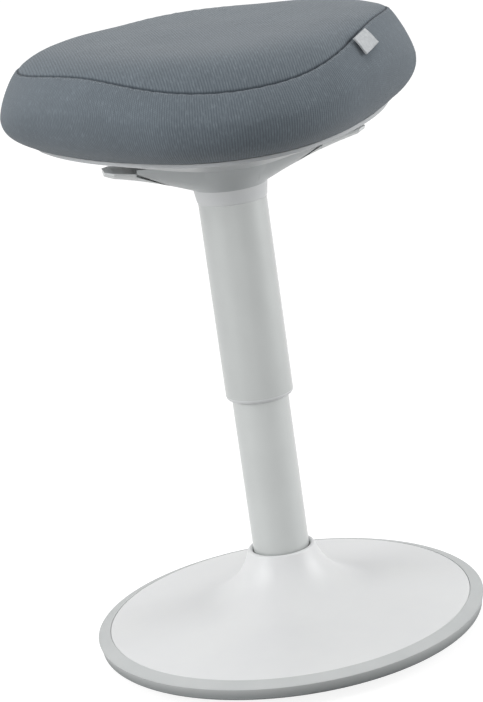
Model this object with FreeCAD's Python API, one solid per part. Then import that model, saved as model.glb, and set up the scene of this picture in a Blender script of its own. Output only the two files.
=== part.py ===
import FreeCAD, Part
import math
import os

# Wobble stool: a cushioned seat on a telescoping column with a gas lift, standing on a
# round weighted base with a curved underside. Millimetres, +Z up, the floor at z = 0 and
# the column's axis on the Z axis. The stool stands upright with the seat near the top of
# its travel. The seat and its release mechanism are turned a little on the column.

# Base: outline
base_radius = 174.0
rocker_radius = 1180.0
stand_flat_radius = 50.0
sole_thickness = 4.0
sole_radius = 160.0
sole_rim_wall = 3.0

# Base: rubber ring, clamped by its tongue between the sole and the shell
ring_crease_height = 22.0
ring_foot_radius = 169.0
ring_side_radius = 171.8
ring_side_height = 14.0
tongue_low = 18.5
tongue_high = 22.5
tongue_radius = 152.0
ring_gap = 0.3

# Base: trumpet-shaped shell
shell_radius = 162.4
shell_edge_height = 26.0
shell_edge_round = 0.8
shell_wall = 3.0
shell_slope = 9.5
neck_start_radius = 78.0
neck_radius = 30.2
neck_height = 82.5
neck_lip_height = 84.2
neck_gap = 0.8
neck_depth = 12.5

# Base: cast weight with the column's socket
weight_radius = 148.0
weight_top = 19.0
weight_gap = 0.3
socket_radius = 33.0
socket_top = 60.0
column_seat_height = 10.0
column_seat_radius = 20.0
socket_gap = 0.1
rib_count = 6
rib_thickness = 6.0
rib_reach = 112.0
rib_height = 48.0

# Base: screws that clamp sole, weight and shell
base_screw_circle = 118.0
base_screw_radius = 2.5
base_screw_head_radius = 5.0
base_screw_head_height = 2.0
base_screw_length = 20.0
screw_gap = 0.05
head_gap = 0.4
head_recess = 2.6
boss_radius = 5.5

# Column: lower tube
column_radius = 25.0
column_wall = 1.5
column_top = 285.0
column_floor = 3.0

# Column: guide bush in the lower tube's mouth
bush_length = 70.0
bush_gap = 0.1
bush_flange = 2.5
bush_flange_gap = 0.4
bush_relief = 3.0
bush_land = 12.0
running_gap = 0.05

# Gas lift
cylinder_radius = 14.0
cylinder_wall = 1.2
cylinder_bottom = 148.0
cylinder_top = 426.0
cylinder_lip = 1.5
cylinder_lip_radius = 8.0
cylinder_cap = 4.0
cone_bottom = 409.0
cone_top_radius = 13.2
rod_radius = 5.0
rod_foot_radius = 4.0
rod_groove_radius = 3.0
rod_foot_bottom = 6.0
rod_shoulder = 20.0
rod_top = 195.0
piston_height = 12.0
piston_neck_radius = 3.5
piston_head_height = 2.5
piston_head_radius = 4.6
rod_guide_height = 22.0
valve_body_height = 24.0
valve_body_gap = 0.1
pin_radius = 4.0
pin_hole_gap = 0.3
pin_length = 29.0
pin_stand = 5.0

# Gas lift: thrust bearing on the column's floor
washer_radius = 11.0
washer_height = 1.5
washer_hole_gap = 1.3
thrust_ring_inset = 0.4
clip_radius = 8.0
clip_height = 1.2
clip_gap = 0.2
buffer_height = 6.0
buffer_radius = 11.5

# Column: upper sleeve, its end ring and its collar
sleeve_radius = 29.8
sleeve_wall = 1.5
sleeve_bottom = 229.0
sleeve_top = 416.0
end_ring_round = 4.2
end_ring_gap = 0.35
end_ring_spigot = 16.0
spigot_gap = 0.05
collar_height = 13.0
collar_top_radius = 32.3
collar_low_radius = 30.6
collar_edge = 1.2

# Hub under the seat
hub_root_radius = 32.5
hub_radius = 50.0
hub_top = 444.7
hub_wall = 2.5
hub_floor = 2.5
hub_spigot_wall = 2.2
hub_spigot_length = 12.0
hub_flare_low = 421.0
hub_flare_low_radius = 36.5
hub_flare_mid = 433.0
hub_flare_mid_radius = 46.5
hub_end = 80.0
hub_boss_depth = 15.7
wing_start = 20.5
notch_start = 47.0
notch_end_height = 441.0

# Release levers, one wing to each side
wing_root = 34.0
wing_root_bottom = 416.3
wing_slope = 0.41
wing_bend = 0.0013
wing_root_half_width = 39.5
wing_end_half_width = 19.0
wing_tip_half_width = 11.0
wing_end_length = 7.0
wing_top = 441.2
wing_top_slope = 0.2
left_reach = 106.5
right_reach = 121.0
lever_lift = 4.0
wing_gap = 0.8
notch_gap = 0.4
wing_inner_reach = 44.5
keel_reach = 52.0
pivot_reach = 42.0
pivot_height = 436.0
pivot_pin_radius = 2.5
knuckle_radius = 5.0
knuckle_half_width = 21.2
pivot_rib_thickness = 3.0
pivot_rib_low = 36.0
pivot_rib_high = 48.0
pivot_rib_top = 440.0
lever_arm_half_width = 4.0
lever_arm_thickness = 4.0
lever_tip_reach = 4.2
yoke_half_length = 8.0
yoke_half_width = 7.0
yoke_slot_depth = 4.6
yoke_slot_gap = 0.35
yoke_top_wall = 2.0

# Seat plate with its tapered socket
plate_bottom = 442.0
plate_thickness = 3.0
plate_half_width = 27.0
plate_corner = 8.0
plate_socket_radius = 17.5
socket_window_width = 10.6
socket_window_bottom = 431.0
plate_bolt_circle = 23.5
plate_bolt_radius = 3.0
plate_bolt_head_radius = 5.0
plate_bolt_head_height = 4.0
plate_bolt_end = 458.0
hub_screw_circle = 44.5
hub_screw_angle = 48.0
hub_screw_radius = 2.0
hub_screw_head_radius = 3.8
hub_screw_head_height = 2.4
hub_screw_length = 12.0
hub_boss_radius = 4.2

# Seat outline: a triangle with round corners and bowed sides
seat_turn = 8.0
corner_reach = 195.0
side_reach = 160.0
corner_radius = 100.0

# Undershell, as shares of the seat's outline, and the board that stands in it
shell_flat_share = 0.455
shell_rim_share = 0.85
shell_depth = 23.0
undershell_wall = 3.0
board_gap = 1.6
board_thickness = 8.6
board_stand = 4.0
board_boss_radius = 7.5
tee_nut_radius = 4.2
tee_nut_flange_radius = 9.0
tee_nut_flange = 1.5

# Cushion, from the undershell's rim up to its crown
cushion_gap = 0.4
cushion_floor_gap = 12.7
cushion_overhang = 0.01
cushion_side_height = 32.0
cushion_band_height = 37.0
cushion_crown_rise = 13.7
cushion_seam_share = 0.877
cushion_crown_share = 0.4
cushion_edge_roll = 8.5
cushion_side_square = 2.62
cushion_side_centre = 0.5
cushion_band_square = 1.34
widest_tilt = 2.0
seam_tilt = -3.0

# Sewn tag on the cushion's right front side
tag_width = 30.0
tag_length = 16.0
tag_thickness = 1.0
tag_gap = 0.3
tag_slope = 48.0
tag_angle = -36.5
tag_over_seam = 2.0

# How far a cut runs past what it cuts
cut_margin = 10.0

up = FreeCAD.Vector(0, 0, 1)
origin = FreeCAD.Vector(0, 0, 0)


def point(x, y, z):
    return FreeCAD.Vector(x, y, z)


def disc(radius, low, high, x=0.0, y=0.0):
    return Part.makeCylinder(radius, high - low, point(x, y, low), up)


def tube(outer, inner, low, high):
    return disc(outer, low, high).cut(disc(inner, low - 1, high + 1))


def block(x_low, x_high, y_low, y_high, z_low, z_high):
    return Part.makeBox(x_high - x_low, y_high - y_low, z_high - z_low, point(x_low, y_low, z_low))


def line(start, end):
    return Part.LineSegment(point(start[0], 0, start[1]), point(end[0], 0, end[1])).toShape()


def arc(start, middle, end):
    return Part.Arc(
        point(start[0], 0, start[1]), point(middle[0], 0, middle[1]), point(end[0], 0, end[1])
    ).toShape()


def lines(*corners):
    return [line(a, b) for a, b in zip(corners, corners[1:])]


def revolved(edges):
    """Turn a closed outline of (radius, height) edges about the column's axis."""
    return Part.Face(Part.Wire(edges)).revolve(origin, up, 360)


def around(shape, count, start=0.0):
    """Copies of a shape, evenly spaced about the column's axis."""
    copies = []
    for index in range(count):
        copy = shape.copy()
        copy.rotate(origin, up, start + index * 360.0 / count)
        copies.append(copy)
    return copies


def turned_with_seat(shape):
    shape = shape.copy()
    shape.rotate(origin, up, seat_turn)
    return shape


def save(name, shape):
    shape.exportStep("parts/" + name + ".step")


def save_group(name, shapes):
    save(name, Part.makeCompound(shapes))


def mix(low, high, share):
    return low + (high - low) * share


# Base

flat_rise = rocker_radius - math.sqrt(rocker_radius**2 - stand_flat_radius**2)


def rocker_height(radius):
    """Height of the curved underside, which starts at the flat the stool stands on."""
    return rocker_radius - math.sqrt(rocker_radius**2 - radius**2) - flat_rise


def rocker_arc(start, end, lift):
    middle = (start + end) / 2
    return arc(
        (start, rocker_height(start) + lift),
        (middle, rocker_height(middle) + lift),
        (end, rocker_height(end) + lift),
    )


def base_screw_places():
    """The screws stand between the weight's ribs."""
    for index in range(rib_count):
        angle = math.radians((index + 0.5) * 360.0 / rib_count)
        yield base_screw_circle * math.cos(angle), base_screw_circle * math.sin(angle)


screw_seat = rocker_height(base_screw_circle) + head_recess


def rocker_sole():
    inner = sole_radius - sole_rim_wall
    edge = rocker_height(sole_radius)
    inner_edge = rocker_height(inner) + sole_thickness
    outline = lines((0, 0), (stand_flat_radius, 0))
    outline += [rocker_arc(stand_flat_radius, sole_radius, 0)]
    outline += lines((sole_radius, edge), (sole_radius, tongue_low), (inner, tongue_low), (inner, inner_edge))
    outline += [rocker_arc(inner, stand_flat_radius, sole_thickness)]
    outline += lines((stand_flat_radius, sole_thickness), (0, sole_thickness), (0, 0))
    sole = revolved(outline)
    for x, y in base_screw_places():
        sole = sole.cut(disc(base_screw_head_radius + head_gap, 0, screw_seat, x, y))
        sole = sole.cut(disc(base_screw_radius + head_gap, 0, weight_top, x, y))
    return sole


def rubber_ring():
    inner = sole_radius + ring_gap
    groove = shell_radius + ring_gap
    foot = (ring_foot_radius, rocker_height(ring_foot_radius))
    side = (ring_side_radius, ring_side_height)
    bend = (
        mix(foot[0], side[0], 0.75),
        mix(foot[1], side[1], 0.25),
    )
    outline = [rocker_arc(inner, ring_foot_radius, 0), arc(foot, bend, side)]
    outline += lines(
        side,
        (base_radius, ring_crease_height),
        (groove, shell_edge_height),
        (groove, tongue_high),
        (tongue_radius, tongue_high),
        (tongue_radius, tongue_low),
        (inner, tongue_low),
        (inner, rocker_height(inner)),
    )
    return revolved(outline)


def base_weight():
    low = sole_thickness + weight_gap
    bore = column_radius + socket_gap
    outline = [rocker_arc(stand_flat_radius, weight_radius, low)]
    outline += lines(
        (weight_radius, rocker_height(weight_radius) + low),
        (weight_radius, weight_top),
        (socket_radius, weight_top),
        (socket_radius, socket_top),
        (bore, socket_top),
        (bore, column_seat_height),
        (column_seat_radius, column_seat_height),
        (column_seat_radius, low),
        (stand_flat_radius, low),
    )
    weight = revolved(outline)
    web = Part.Face(
        Part.Wire(
            lines(
                (bore + 2, weight_top - 1),
                (rib_reach, weight_top - 1),
                (rib_reach, weight_top + 1),
                (socket_radius, rib_height),
                (bore + 2, rib_height),
                (bore + 2, weight_top - 1),
            )
        )
    ).extrude(point(0, rib_thickness, 0))
    web.translate(point(0, -rib_thickness / 2, 0))
    weight = weight.fuse(around(web, rib_count)).removeSplitter()
    for x, y in base_screw_places():
        weight = weight.cut(disc(base_screw_radius + head_gap, 0, weight_top + 1, x, y))
    return weight


def base_shell():
    slope = math.radians(shell_slope)
    rim = shell_radius - shell_edge_round
    rise = math.tan(slope)
    turn_in = (neck_start_radius, shell_edge_height + (rim - neck_start_radius) * rise)
    lip = (neck_radius, neck_height)
    across = (lip[0] - turn_in[0], lip[1] - turn_in[1])
    normal = (math.sin(slope), math.cos(slope))
    flare = (across[0] ** 2 + across[1] ** 2) / (2 * (across[0] * normal[0] + across[1] * normal[1]))
    centre = (turn_in[0] + flare * normal[0], turn_in[1] + flare * normal[1])
    lip_angle = math.asin((centre[0] - lip[0]) / flare)

    def on_flare(radius, angle):
        return centre[0] - radius * math.sin(angle), centre[1] - radius * math.cos(angle)

    bore = column_radius + neck_gap
    neck_foot = neck_height - neck_depth
    inner_flare = flare + shell_wall
    foot_angle = math.acos((centre[1] - neck_foot) / inner_flare)
    inner_turn = on_flare(inner_flare, slope)
    inner_rim = shell_radius - 2 * shell_wall
    inner_rim_height = inner_turn[1] - (inner_rim - inner_turn[0]) * rise
    outline = lines(
        (inner_rim, tongue_high),
        (shell_radius, tongue_high),
        (shell_radius, shell_edge_height - shell_edge_round),
    )
    outline += [
        arc(
            (shell_radius, shell_edge_height - shell_edge_round),
            (rim + 0.7 * shell_edge_round, shell_edge_height - 0.3 * shell_edge_round),
            (rim, shell_edge_height),
        ),
        line((rim, shell_edge_height), turn_in),
        arc(turn_in, on_flare(flare, (slope + lip_angle) / 2), lip),
        arc(lip, ((neck_radius + bore) / 2, neck_lip_height), (bore, neck_height)),
    ]
    outline += lines((bore, neck_height), (bore, neck_foot), on_flare(inner_flare, foot_angle))
    outline += [
        arc(
            on_flare(inner_flare, foot_angle),
            on_flare(inner_flare, (slope + foot_angle) / 2),
            inner_turn,
        ),
        line(inner_turn, (inner_rim, inner_rim_height)),
        line((inner_rim, inner_rim_height), (inner_rim, tongue_high)),
    ]
    shell = revolved(outline)
    under_shell = inner_turn[1] - (base_screw_circle - inner_turn[0]) * rise
    for x, y in base_screw_places():
        shell = shell.fuse(disc(boss_radius, weight_top, under_shell + shell_wall / 2, x, y))
    for x, y in base_screw_places():
        end = screw_seat + base_screw_length + head_gap
        shell = shell.cut(disc(base_screw_radius + screw_gap, 0, end, x, y))
    return shell


def base_screws():
    screws = []
    for x, y in base_screw_places():
        head = disc(base_screw_head_radius, screw_seat - base_screw_head_height, screw_seat, x, y)
        shank = disc(base_screw_radius, screw_seat, screw_seat + base_screw_length, x, y)
        screws.append(head.fuse(shank))
    return screws


# Column and gas lift

column_inner = column_radius - column_wall
cylinder_bore = cylinder_radius - cylinder_wall
column_floor_top = column_seat_height + column_floor


def column_tube():
    body = tube(column_radius, column_inner, column_seat_height, column_top)
    floor = tube(column_radius, rod_foot_radius + pin_hole_gap, column_seat_height, column_floor_top)
    return body.fuse(floor).removeSplitter()


def guide_bush():
    outer = column_inner - bush_gap
    bore = cylinder_radius + running_gap
    low = column_top - bush_length
    relief = outer - bush_relief
    flange = column_radius - bush_flange_gap
    return revolved(
        lines(
            (bore, low),
            (outer, low),
            (outer, low + bush_land),
            (relief, low + bush_land),
            (relief, column_top - bush_land),
            (outer, column_top - bush_land),
            (outer, column_top),
            (flange, column_top),
            (flange, column_top + bush_flange),
            (bore, column_top + bush_flange),
            (bore, low),
        )
    )


def piston_rod():
    groove_top = column_seat_height - clip_gap + screw_gap
    groove_low = column_seat_height - clip_gap - clip_height - screw_gap
    head_low = rod_top + piston_height
    return revolved(
        lines(
            (0, rod_foot_bottom),
            (rod_foot_radius, rod_foot_bottom),
            (rod_foot_radius, groove_low),
            (rod_groove_radius, groove_low),
            (rod_groove_radius, groove_top),
            (rod_foot_radius, groove_top),
            (rod_foot_radius, rod_shoulder),
            (rod_radius, rod_shoulder),
            (rod_radius, rod_top),
            (piston_neck_radius, rod_top),
            (piston_neck_radius, head_low),
            (piston_head_radius, head_low),
            (piston_head_radius, head_low + piston_head_height),
            (0, head_low + piston_head_height),
            (0, rod_foot_bottom),
        )
    )


def piston():
    seal_groove = tube(cylinder_bore, cylinder_bore - 2, rod_top + 5, rod_top + 7.5)
    body = tube(cylinder_bore - running_gap, piston_neck_radius + running_gap, rod_top, rod_top + piston_height)
    return body.cut(seal_groove)


def rod_clip():
    """An open ring, pushed onto the groove in the rod's foot from one side."""
    high = column_seat_height - clip_gap
    inner = rod_groove_radius + screw_gap
    ring = tube(clip_radius, inner, high - clip_height, high)
    mouth = block(0, clip_radius + 1, -inner, inner, high - clip_height - 1, high + 1)
    return ring.cut(mouth)


lower_washer_top = column_floor_top + washer_height
upper_washer_low = rod_shoulder - washer_height


def lower_washer():
    hole = rod_foot_radius + washer_hole_gap
    return tube(washer_radius, hole, column_floor_top, lower_washer_top)


def upper_washer():
    return tube(washer_radius, rod_foot_radius + screw_gap, upper_washer_low, rod_shoulder)


def thrust_ring():
    """The plastic ring that the rod turns on, between the two steel washers."""
    outer = washer_radius - thrust_ring_inset
    inner = rod_foot_radius + washer_hole_gap
    return tube(outer, inner, lower_washer_top, upper_washer_low - running_gap)


def stop_buffer():
    return tube(buffer_radius, rod_radius + 2 * running_gap, rod_shoulder, rod_shoulder + buffer_height)


def gas_cylinder():
    lip_top = cylinder_bottom + cylinder_lip
    cap_low = cylinder_top - cylinder_cap
    pin_hole = pin_radius + pin_hole_gap
    inner_cone = cone_top_radius - cylinder_wall
    return revolved(
        lines(
            (cylinder_lip_radius, cylinder_bottom),
            (cylinder_radius, cylinder_bottom),
            (cylinder_radius, cone_bottom),
            (cone_top_radius, cylinder_top),
            (pin_hole, cylinder_top),
            (pin_hole, cap_low),
            (inner_cone, cap_low),
            (cylinder_bore, cone_bottom),
            (cylinder_bore, lip_top),
            (cylinder_lip_radius, lip_top),
            (cylinder_lip_radius, cylinder_bottom),
        )
    )


def rod_guide():
    low = cylinder_bottom + cylinder_lip
    return tube(cylinder_bore - running_gap, rod_radius + running_gap, low, low + rod_guide_height)


def valve_body():
    high = cylinder_top - cylinder_cap
    outer = cone_top_radius - cylinder_wall - valve_body_gap
    return tube(outer, pin_radius + running_gap, high - valve_body_height, high)


pin_top = cylinder_top + pin_stand


def release_pin():
    return disc(pin_radius, pin_top - pin_length, pin_top)


# Sleeve

sleeve_inner = sleeve_radius - sleeve_wall


def column_sleeve():
    return tube(sleeve_radius, sleeve_inner, sleeve_bottom, sleeve_top)


def sleeve_end_ring():
    bore = column_radius + end_ring_gap
    spigot = sleeve_inner - spigot_gap
    low = sleeve_bottom - end_ring_round
    foot = sleeve_radius - end_ring_round
    bend = 0.707 * end_ring_round
    outline = [
        arc(
            (foot, low),
            (foot + bend, sleeve_bottom - bend),
            (sleeve_radius, sleeve_bottom),
        )
    ]
    outline += lines(
        (sleeve_radius, sleeve_bottom),
        (spigot, sleeve_bottom),
        (spigot, sleeve_bottom + end_ring_spigot),
        (bore, sleeve_bottom + end_ring_spigot),
        (bore, low),
        (foot, low),
    )
    return revolved(outline)


def sleeve_collar():
    bore = sleeve_radius + spigot_gap
    low = sleeve_top - collar_height
    return revolved(
        lines(
            (bore, low),
            (collar_low_radius - collar_edge / 2, low),
            (collar_low_radius, low + collar_edge),
            (collar_top_radius, sleeve_top),
            (bore, sleeve_top),
            (bore, low),
        )
    )


# Hub under the seat and its release levers


def wing_bottom(reach):
    run = reach - wing_root
    return wing_root_bottom + wing_slope * run - wing_bend * run**2


def wing_half_width(reach):
    return mix(wing_root_half_width, wing_end_half_width, (reach - wing_root) / (hub_end - wing_root))


def wing_section(reach, half_width, bottom, shoulder, top):
    """A cross-section of a wing: a bowl-shaped arc, short upright sides and a flat top."""
    left = point(reach, -half_width, shoulder)
    right = point(reach, half_width, shoulder)
    corners = [right, left]
    if top > shoulder:
        corners = [right, point(reach, half_width, top), point(reach, -half_width, top), left]
    bowl = Part.Arc(left, point(reach, 0, bottom), right).toShape()
    sides = [Part.LineSegment(a, b).toShape() for a, b in zip(corners, corners[1:])]
    return Part.Wire([bowl] + sides)


def wing(start, end, inset, top):
    """The wing's form between two reaches, or the smaller form inside it."""
    sections = []
    for reach in (start, (start + end) / 2, end):
        half_width = wing_half_width(reach) - inset
        sections.append(wing_section(reach, half_width, wing_bottom(reach) + inset, wing_top, top))
    return Part.makeLoft(sections, True, False)


def hub_form(inset, low, top, end):
    """The hub's outer form, or the hollow inside it when it is inset by the wall.

    The wings start where their edges touch the hub's round body.
    """
    profile = [
        (hub_root_radius - inset, low),
        (hub_flare_low_radius - inset, max(hub_flare_low, low + 1)),
        (hub_flare_mid_radius - inset, hub_flare_mid),
        (hub_radius - inset, wing_top),
    ]
    flare = Part.BSplineCurve()
    flare.interpolate([point(radius, 0, height) for radius, height in profile])
    outline = [flare.toShape()]
    outline += lines(
        (hub_radius - inset, wing_top),
        (hub_radius - inset, top),
        (0, top),
        (0, low),
        (hub_root_radius - inset, low),
    )
    sides = []
    above_sleeve = block(0, end + 1, -hub_radius, hub_radius, low, top + 1)
    for side in around(wing(wing_start, end, inset, top).common(above_sleeve), 2):
        sides.append(side)
    return revolved(outline).fuse(sides)


def notch_line(reach):
    """Height of the slanting edge of the notch that each lever comes out of."""
    low = wing_bottom(notch_start)
    return low + (notch_end_height - low) * (reach - notch_start) / (hub_end - notch_start)


def below_notch(start, end, drop):
    """The space below the slanting edge, lowered by a gap."""
    outline = lines(
        (start, notch_line(start) - drop),
        (end, notch_line(end) - drop),
        (end, sleeve_top - cut_margin),
        (start, sleeve_top - cut_margin),
        (start, notch_line(start) - drop),
    )
    reach = hub_radius + cut_margin
    wedge = Part.Face(Part.Wire(outline)).extrude(point(0, 2 * reach, 0))
    wedge.translate(point(0, -reach, 0))
    return wedge


def hub_screw_places():
    for side in (-1, 1):
        for front in (-1, 1):
            angle = math.radians(hub_screw_angle)
            yield side * hub_screw_circle * math.cos(angle), front * hub_screw_circle * math.sin(angle)


def hub_housing():
    outer = hub_form(0, sleeve_top, hub_top, hub_end)
    hollow = hub_form(hub_wall, sleeve_top + hub_floor, hub_top + 5, hub_end + 5)
    fittings = []
    rib_inner = knuckle_half_width + wing_gap
    for side in (-1, 1):
        near, far = sorted((side * pivot_rib_low, side * pivot_rib_high))
        for front in (-1, 1):
            low, high = sorted((front * rib_inner, front * (rib_inner + pivot_rib_thickness)))
            fittings.append(block(near, far, low, high, sleeve_top, pivot_rib_top))
    for x, y in hub_screw_places():
        fittings.append(disc(hub_boss_radius, hub_top - hub_boss_depth, hub_top, x, y))
    spigot_radius = sleeve_inner - spigot_gap
    opening = spigot_radius - hub_spigot_wall
    housing = outer.cut(hollow).fuse([fitting.common(outer) for fitting in fittings])
    housing = housing.fuse(disc(spigot_radius, sleeve_top - hub_spigot_length, sleeve_top + hub_floor))
    housing = housing.cut(disc(opening, sleeve_top - hub_spigot_length - 1, sleeve_top + hub_floor + 1))
    for wedge in around(below_notch(notch_start, hub_end + cut_margin, 0), 2):
        housing = housing.cut(wedge)
    for x, y in hub_screw_places():
        housing = housing.cut(disc(hub_screw_radius + screw_gap, hub_screw_bottom - 0.5, hub_top + 1, x, y))
    pin_half = rib_inner + pivot_rib_thickness + 1
    for side in (-1, 1):
        housing = housing.cut(pivot_cylinder(side, pivot_pin_radius + screw_gap, pin_half))
    return housing.removeSplitter()


def pivot_cylinder(side, radius, half_length):
    start = point(side * pivot_reach, -half_length, pivot_height)
    return Part.makeCylinder(radius, 2 * half_length, start, point(0, 1, 0))


def keel():
    """The lever's underside inside the notch, level with the hub and free to rise."""
    form = wing(keel_reach, hub_end + 2 * wing_gap, 0, wing_top)
    space = below_notch(notch_start - cut_margin, hub_end + cut_margin, notch_gap)
    space.rotate(point(pivot_reach, 0, pivot_height), point(0, 1, 0), lever_lift)
    return form.common(space)


def paddle(tip):
    """The wing outside the hub, with a rounded end."""
    start = hub_end + wing_gap
    end = tip - wing_end_length
    sections = []
    for reach in (start, (start + end) / 2, end):
        top = wing_top + wing_top_slope * (reach - start)
        share = (reach - start) / (end - start)
        half_width = mix(wing_half_width(start), wing_end_half_width, share)
        sections.append(wing_section(reach, half_width, wing_bottom(reach), top - 1.5, top))
    top = wing_top + wing_top_slope * (tip - start) - 0.8
    low = wing_bottom(end) + 3.0
    sections.append(wing_section(tip, wing_tip_half_width, low, top - 1.0, top))
    return Part.makeLoft(sections[:3], True, False).fuse(Part.makeLoft(sections[2:], True, False))


def lever(tip):
    """A lever on the right of the hub, lifted at its wing to press the release yoke down."""
    inner = wing(wing_inner_reach, hub_end + 2 * wing_gap, hub_wall + wing_gap, wing_top)
    arm_low = pivot_height - lever_arm_thickness / 2
    arm = block(
        lever_tip_reach,
        wing_inner_reach + 4,
        -lever_arm_half_width,
        lever_arm_half_width,
        arm_low,
        arm_low + lever_arm_thickness,
    )
    knuckle = pivot_cylinder(1, knuckle_radius, knuckle_half_width)
    web_low = pivot_height - knuckle_radius / 2
    web_high = pivot_height + knuckle_radius
    web = block(
        pivot_reach, wing_inner_reach + 4, -knuckle_half_width, knuckle_half_width, web_low, web_high
    )
    body = inner.fuse([keel(), paddle(tip), arm, knuckle, web])
    slot_end = pivot_rib_high + 2 * wing_gap
    slot_high = knuckle_half_width + pivot_rib_thickness + 2 * wing_gap
    for front in (-1, 1):
        low, high = sorted((front * knuckle_half_width, front * slot_high))
        body = body.cut(block(0, slot_end, low, high, sleeve_top - 5, wing_top + 5))
    return body.cut(pivot_cylinder(1, pivot_pin_radius + running_gap, knuckle_half_width + 20)).removeSplitter()


def lever_pins():
    half = knuckle_half_width + wing_gap + pivot_rib_thickness
    return [pivot_cylinder(side, pivot_pin_radius, half) for side in (-1, 1)]


def release_yoke():
    slot = lever_arm_thickness + 2 * yoke_slot_gap
    slot_low = pivot_height - slot / 2
    top = slot_low + slot + yoke_top_wall
    body = block(-yoke_half_length, yoke_half_length, -yoke_half_width, yoke_half_width, pin_top, top)
    half = lever_arm_half_width + yoke_slot_gap
    inner = yoke_half_length - yoke_slot_depth
    for near, far in ((-yoke_half_length - 1, -inner), (inner, yoke_half_length + 1)):
        body = body.cut(block(near, far, -half, half, slot_low, slot_low + slot))
    return body


# Seat plate, undershell, board and fasteners

plate_top = plate_bottom + plate_thickness
undershell_floor = plate_top + undershell_wall
board_low = undershell_floor + board_stand
board_top = board_low + board_thickness
hub_screw_bottom = undershell_floor - hub_screw_length
shell_rim_height = plate_top + shell_depth
shell_rim_inner_share = shell_rim_share - undershell_wall / side_reach


def share_inside_shell(height, gap):
    """The seat outline's share that stays a gap clear of the undershell's inner wall."""
    rise = (height - undershell_floor) / (shell_rim_height - undershell_floor)
    return mix(shell_flat_share, shell_rim_inner_share, rise) - gap / side_reach


def plate_bolt_places():
    for index in range(4):
        angle = math.radians(45 + 90 * index)
        yield plate_bolt_circle * math.cos(angle), plate_bolt_circle * math.sin(angle)


def seat_plate():
    half = plate_half_width
    plate = block(-half, half, -half, half, plate_bottom, plate_top)
    upright = [
        edge
        for edge in plate.Edges
        if abs(edge.Vertexes[0].Z - edge.Vertexes[1].Z) > plate_thickness / 2
    ]
    plate = plate.makeFillet(plate_corner, upright)
    socket = revolved(
        lines(
            (cylinder_radius + screw_gap, cone_bottom),
            (plate_socket_radius, cone_bottom),
            (plate_socket_radius, plate_bottom + 1),
            (cone_top_radius + screw_gap, plate_bottom + 1),
            (cone_top_radius + screw_gap, cylinder_top),
            (cylinder_radius + screw_gap, cone_bottom),
        )
    )
    window = block(
        -plate_half_width,
        plate_half_width,
        -socket_window_width / 2,
        socket_window_width / 2,
        socket_window_bottom,
        plate_bottom,
    )
    part = plate.fuse(socket.cut(window))
    for x, y in plate_bolt_places():
        part = part.cut(disc(plate_bolt_radius + head_gap, plate_bottom - 1, plate_top + 1, x, y))
    return part.removeSplitter()


def plate_bolts():
    bolts = []
    for x, y in plate_bolt_places():
        head = disc(plate_bolt_head_radius, plate_bottom - plate_bolt_head_height, plate_bottom, x, y)
        key = disc(plate_bolt_radius / 1.5, plate_bottom - plate_bolt_head_height, plate_bottom - 2, x, y)
        bolts.append(head.fuse(disc(plate_bolt_radius, plate_bottom, plate_bolt_end, x, y)).cut(key))
    return bolts


def hub_screws():
    screws = []
    for x, y in hub_screw_places():
        head_top = undershell_floor + hub_screw_head_height
        head = disc(hub_screw_head_radius, undershell_floor, head_top, x, y)
        screws.append(head.fuse(disc(hub_screw_radius, hub_screw_bottom, undershell_floor, x, y)))
    return screws


corner_centre = corner_reach - corner_radius
bow = corner_reach - side_reach
side_centre = (2 * bow * corner_centre - bow**2) / (corner_centre - 2 * bow)


def seat_outline(share, height, tilt=0.0):
    """The seat's outline at a share of its full size, as three corner and three side arcs."""

    def polar(distance, angle):
        return point(distance * math.cos(angle), distance * math.sin(angle), 0)

    third = math.radians(120)
    nose = math.radians(-90)
    edges = []
    for index in range(3):
        corner = nose + index * third
        centre = polar(corner_centre, corner)
        joints = []
        for side in (corner - third / 2, corner + third / 2):
            away = centre.sub(polar(-side_centre, side))
            joints.append(centre.add(away.multiply(corner_radius / away.Length)))
        next_centre = polar(corner_centre, corner + third)
        away = next_centre.sub(polar(-side_centre, corner + third / 2))
        next_joint = next_centre.add(away.multiply(corner_radius / away.Length))
        edges.append(Part.Arc(joints[0], polar(corner_reach, corner), joints[1]).toShape())
        edges.append(
            Part.Arc(joints[1], polar(side_reach, corner + third / 2), next_joint).toShape()
        )
    wire = Part.Wire(edges)
    wire.scale(share, origin)
    wire.rotate(origin, point(1, 0, 0), -tilt)
    wire.translate(point(0, 0, height))
    return wire


def undershell():
    rim_low = shell_rim_height - undershell_wall
    outer = Part.makeLoft(
        [seat_outline(shell_flat_share, plate_top), seat_outline(shell_rim_share, rim_low)], True, True
    )
    rim = Part.makeLoft(
        [
            seat_outline(shell_rim_share, rim_low),
            seat_outline(shell_rim_share, shell_rim_height),
        ],
        True,
        True,
    )
    inner = Part.makeLoft(
        [
            seat_outline(shell_flat_share, undershell_floor),
            seat_outline(shell_rim_inner_share, shell_rim_height + 0.01),
        ],
        True,
        True,
    )
    shell = outer.fuse(rim).cut(inner)
    for x, y in plate_bolt_places():
        shell = shell.fuse(disc(board_boss_radius, plate_top + 1, board_low, x, y))
    for x, y in plate_bolt_places():
        shell = shell.cut(disc(plate_bolt_radius + head_gap, plate_top - 1, board_low + 1, x, y))
    for x, y in hub_screw_places():
        shell = shell.cut(disc(hub_screw_radius + head_gap, plate_top - 1, undershell_floor + 1, x, y))
    return shell.removeSplitter()


def seat_board():
    share = share_inside_shell(board_low, board_gap)
    board = Part.Face(seat_outline(share, board_low)).extrude(point(0, 0, board_thickness))
    for x, y in plate_bolt_places():
        board = board.cut(disc(tee_nut_radius + screw_gap, board_low - 1, board_top + 1, x, y))
        low = board_top - tee_nut_flange
        board = board.cut(disc(tee_nut_flange_radius + head_gap, low, board_top + 1, x, y))
    return board


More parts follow.
